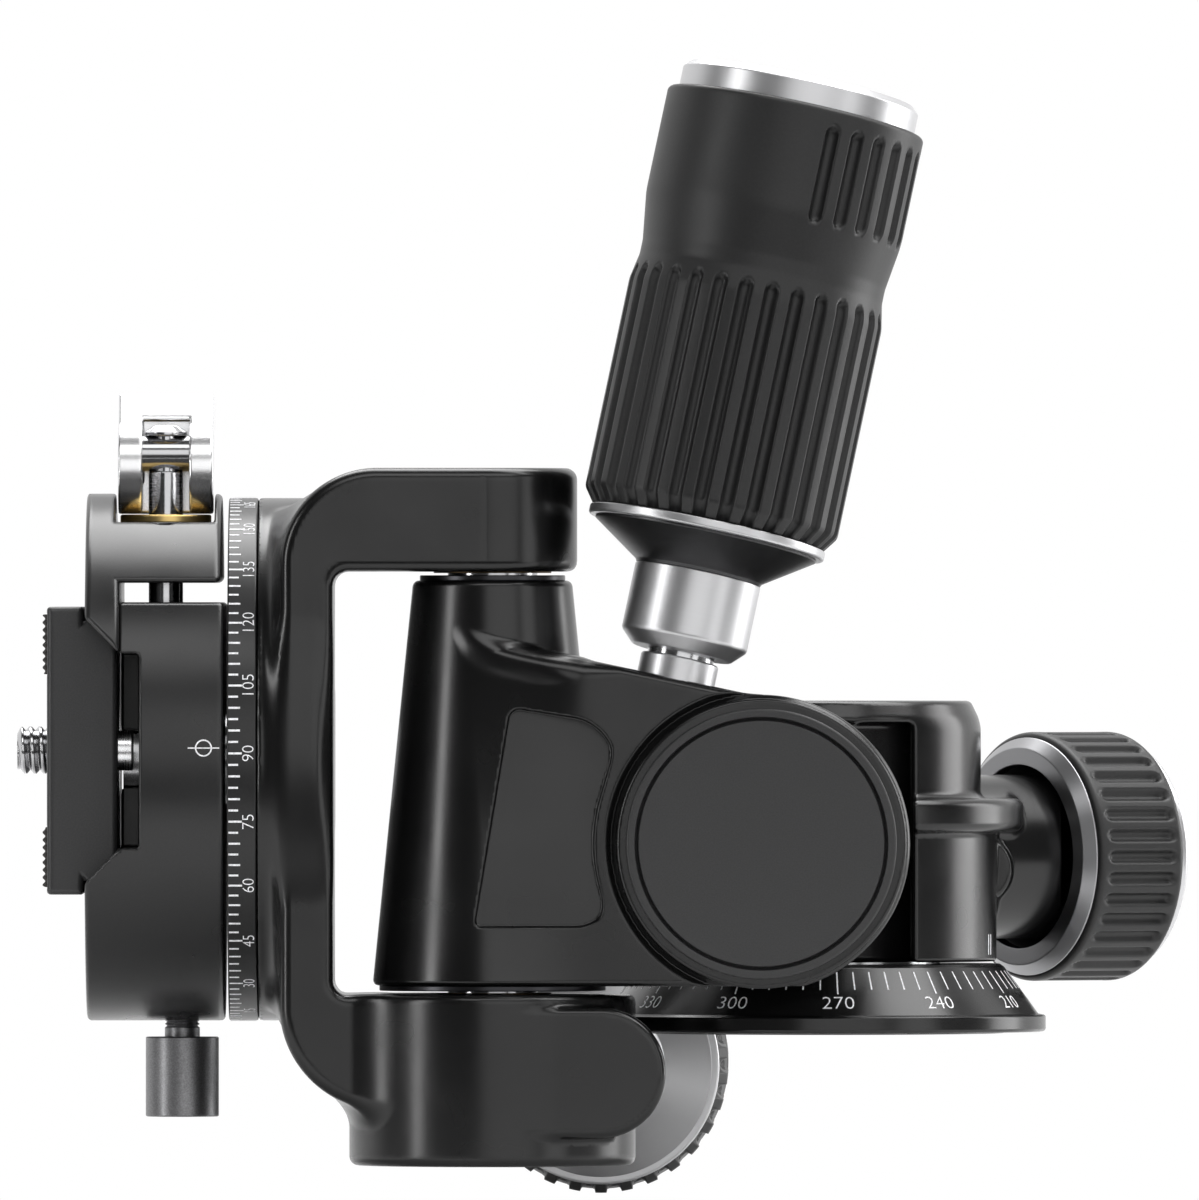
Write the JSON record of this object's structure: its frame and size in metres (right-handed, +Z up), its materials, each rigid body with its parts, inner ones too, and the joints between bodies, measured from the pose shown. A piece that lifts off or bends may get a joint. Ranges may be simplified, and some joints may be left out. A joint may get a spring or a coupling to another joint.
{
  "type": "four-way tripod head",
  "caption": "Tripod head with lockable pan, tilt and roll axes, twist-lock handles and a panning dovetail clamp that holds a camera plate.",
  "frame": {"origin": "centre of the tripod thread's mouth, on the base's underside", "axes": "+Z up along the pan axis, -X towards the camera plate as pictured, -Y towards the viewer"},
  "size_m": [0.1571, 0.1459, 0.1524],
  "materials": {
    "black_metal": "satin black, fine grain",
    "scale_grey": "satin dark grey, turned",
    "dark_metal": "satin dark grey, turned",
    "silver": "satin turned",
    "steel": "polished, turned",
    "screw_steel": "black oxide",
    "bronze": "plain bearing bronze",
    "brass": "polished",
    "grip_rubber": "matt moulded rubber"
  },
  "bodies": {
    "base": {"base_plate": "black_metal", "tripod_insert": "steel", "pan_post": "steel", "base_screws": "screw_steel", "pan_retainer": "steel", "pan_retainer_screw": "screw_steel"},
    "housing": {"pan_housing": "black_metal", "pan_bush": "bronze", "pan_brake_plug": "bronze", "housing_cover": "black_metal", "tilt_shaft": "steel", "tilt_retainer": "steel", "tilt_retainer_screw": "screw_steel"},
    "pan_knob": {"pan_knob_core": "dark_metal", "pan_knob_ring": "silver", "pan_knob_grip": "grip_rubber", "pan_knob_cap": "silver"},
    "arm": {"tilt_arm": "black_metal", "tilt_bush": "bronze", "tilt_cap": "black_metal", "roll_shaft": "steel", "roll_washers": "dark_metal", "tilt_handle_collar": "steel"},
    "tilt_handle": {"tilt_handle_rod": "steel", "tilt_handle_ferrule": "silver", "tilt_handle_grip": "grip_rubber", "tilt_handle_cap": "silver"},
    "fork": {"roll_fork": "black_metal", "roll_bushes": "bronze", "roll_covers": "black_metal", "scale_ring": "scale_grey", "scale_ring_screws": "screw_steel", "clamp_spindle": "steel"},
    "roll_handle": {"roll_handle_rod": "steel", "roll_handle_ferrule": "silver", "roll_handle_grip": "grip_rubber", "roll_handle_cap": "silver"},
    "clamp": {"clamp_body": "black_metal", "clamp_bush": "bronze", "clamp_brake_pin": "bronze", "jaw_guide_pins": "steel", "draw_bolt": "steel", "lever_pin": "steel"},
    "jaw": {"clamp_jaw": "black_metal", "cam_washer": "brass"},
    "lever": {"cam_lever": "silver"},
    "lock_knob": {"clamp_lock_knob": "dark_metal"},
    "plate": {"camera_plate": "black_metal", "plate_pads": "grip_rubber", "plate_stop_screws": "steel"},
    "camera_screw": {"camera_screw": "steel"}
  },
  "joints": [
    {"name": "pan", "type": "hinge", "parent": "base", "child": "housing", "pos_m": [0, 0, 0], "axis": [0, 0, 1], "continuous": true},
    {"name": "pan_knob_turn", "type": "hinge", "parent": "housing", "child": "pan_knob", "pos_m": [0, 0, 0.0235], "axis": [0.8141, 0.5807, 0], "range_deg": [0, 270]},
    {"name": "tilt", "type": "hinge", "parent": "housing", "child": "arm", "pos_m": [-0.00827, 0, 0.0256], "axis": [0, 1, 0], "range_deg": [0, 100]},
    {"name": "tilt_handle_turn", "type": "hinge", "parent": "arm", "child": "tilt_handle", "pos_m": [-0.0189, -0.031, 0.0509], "axis": [0.2073, 0.0785, 0.9751], "range_deg": [0, 270]},
    {"name": "roll", "type": "hinge", "parent": "arm", "child": "fork", "pos_m": [-0.04407, -0.0225, 0], "axis": [0, 0, 1], "range_deg": [0, 24]},
    {"name": "roll_handle_turn", "type": "hinge", "parent": "fork", "child": "roll_handle", "pos_m": [-0.0296, 0, -0.0049], "axis": [0, 1, 0], "range_deg": [0, 270]},
    {"name": "clamp_pan", "type": "hinge", "parent": "fork", "child": "clamp", "pos_m": [0, 0, 0.03667], "axis": [-1, 0, 0], "continuous": true},
    {"name": "lock_knob_turn", "type": "hinge", "parent": "clamp", "child": "lock_knob", "pos_m": [-0.0857, 0, 0], "axis": [0, 0, -1], "range_deg": [0, 270]},
    {"name": "lever_flip", "type": "hinge", "parent": "clamp", "child": "lever", "pos_m": [-0.0879, 0, 0.0776], "axis": [1, 0, 0], "range_deg": [0, 150]},
    {"name": "jaw_slide", "type": "slide", "parent": "clamp", "child": "jaw", "axis": [0, 0, 1], "range_m": [0, 0.002]},
    {"name": "plate_slide", "type": "slide", "parent": "clamp", "child": "plate", "axis": [0, 1, 0], "range_m": [-0.009, 0.009]},
    {"name": "camera_screw_turn", "type": "hinge", "parent": "plate", "child": "camera_screw", "pos_m": [-0.1, 0, 0.0379], "axis": [-1, 0, 0], "continuous": true}
  ],
  "couplings": [
    {"joint": "lever_flip", "follows": "jaw_slide", "rad_per_m": 1309}
  ]
}
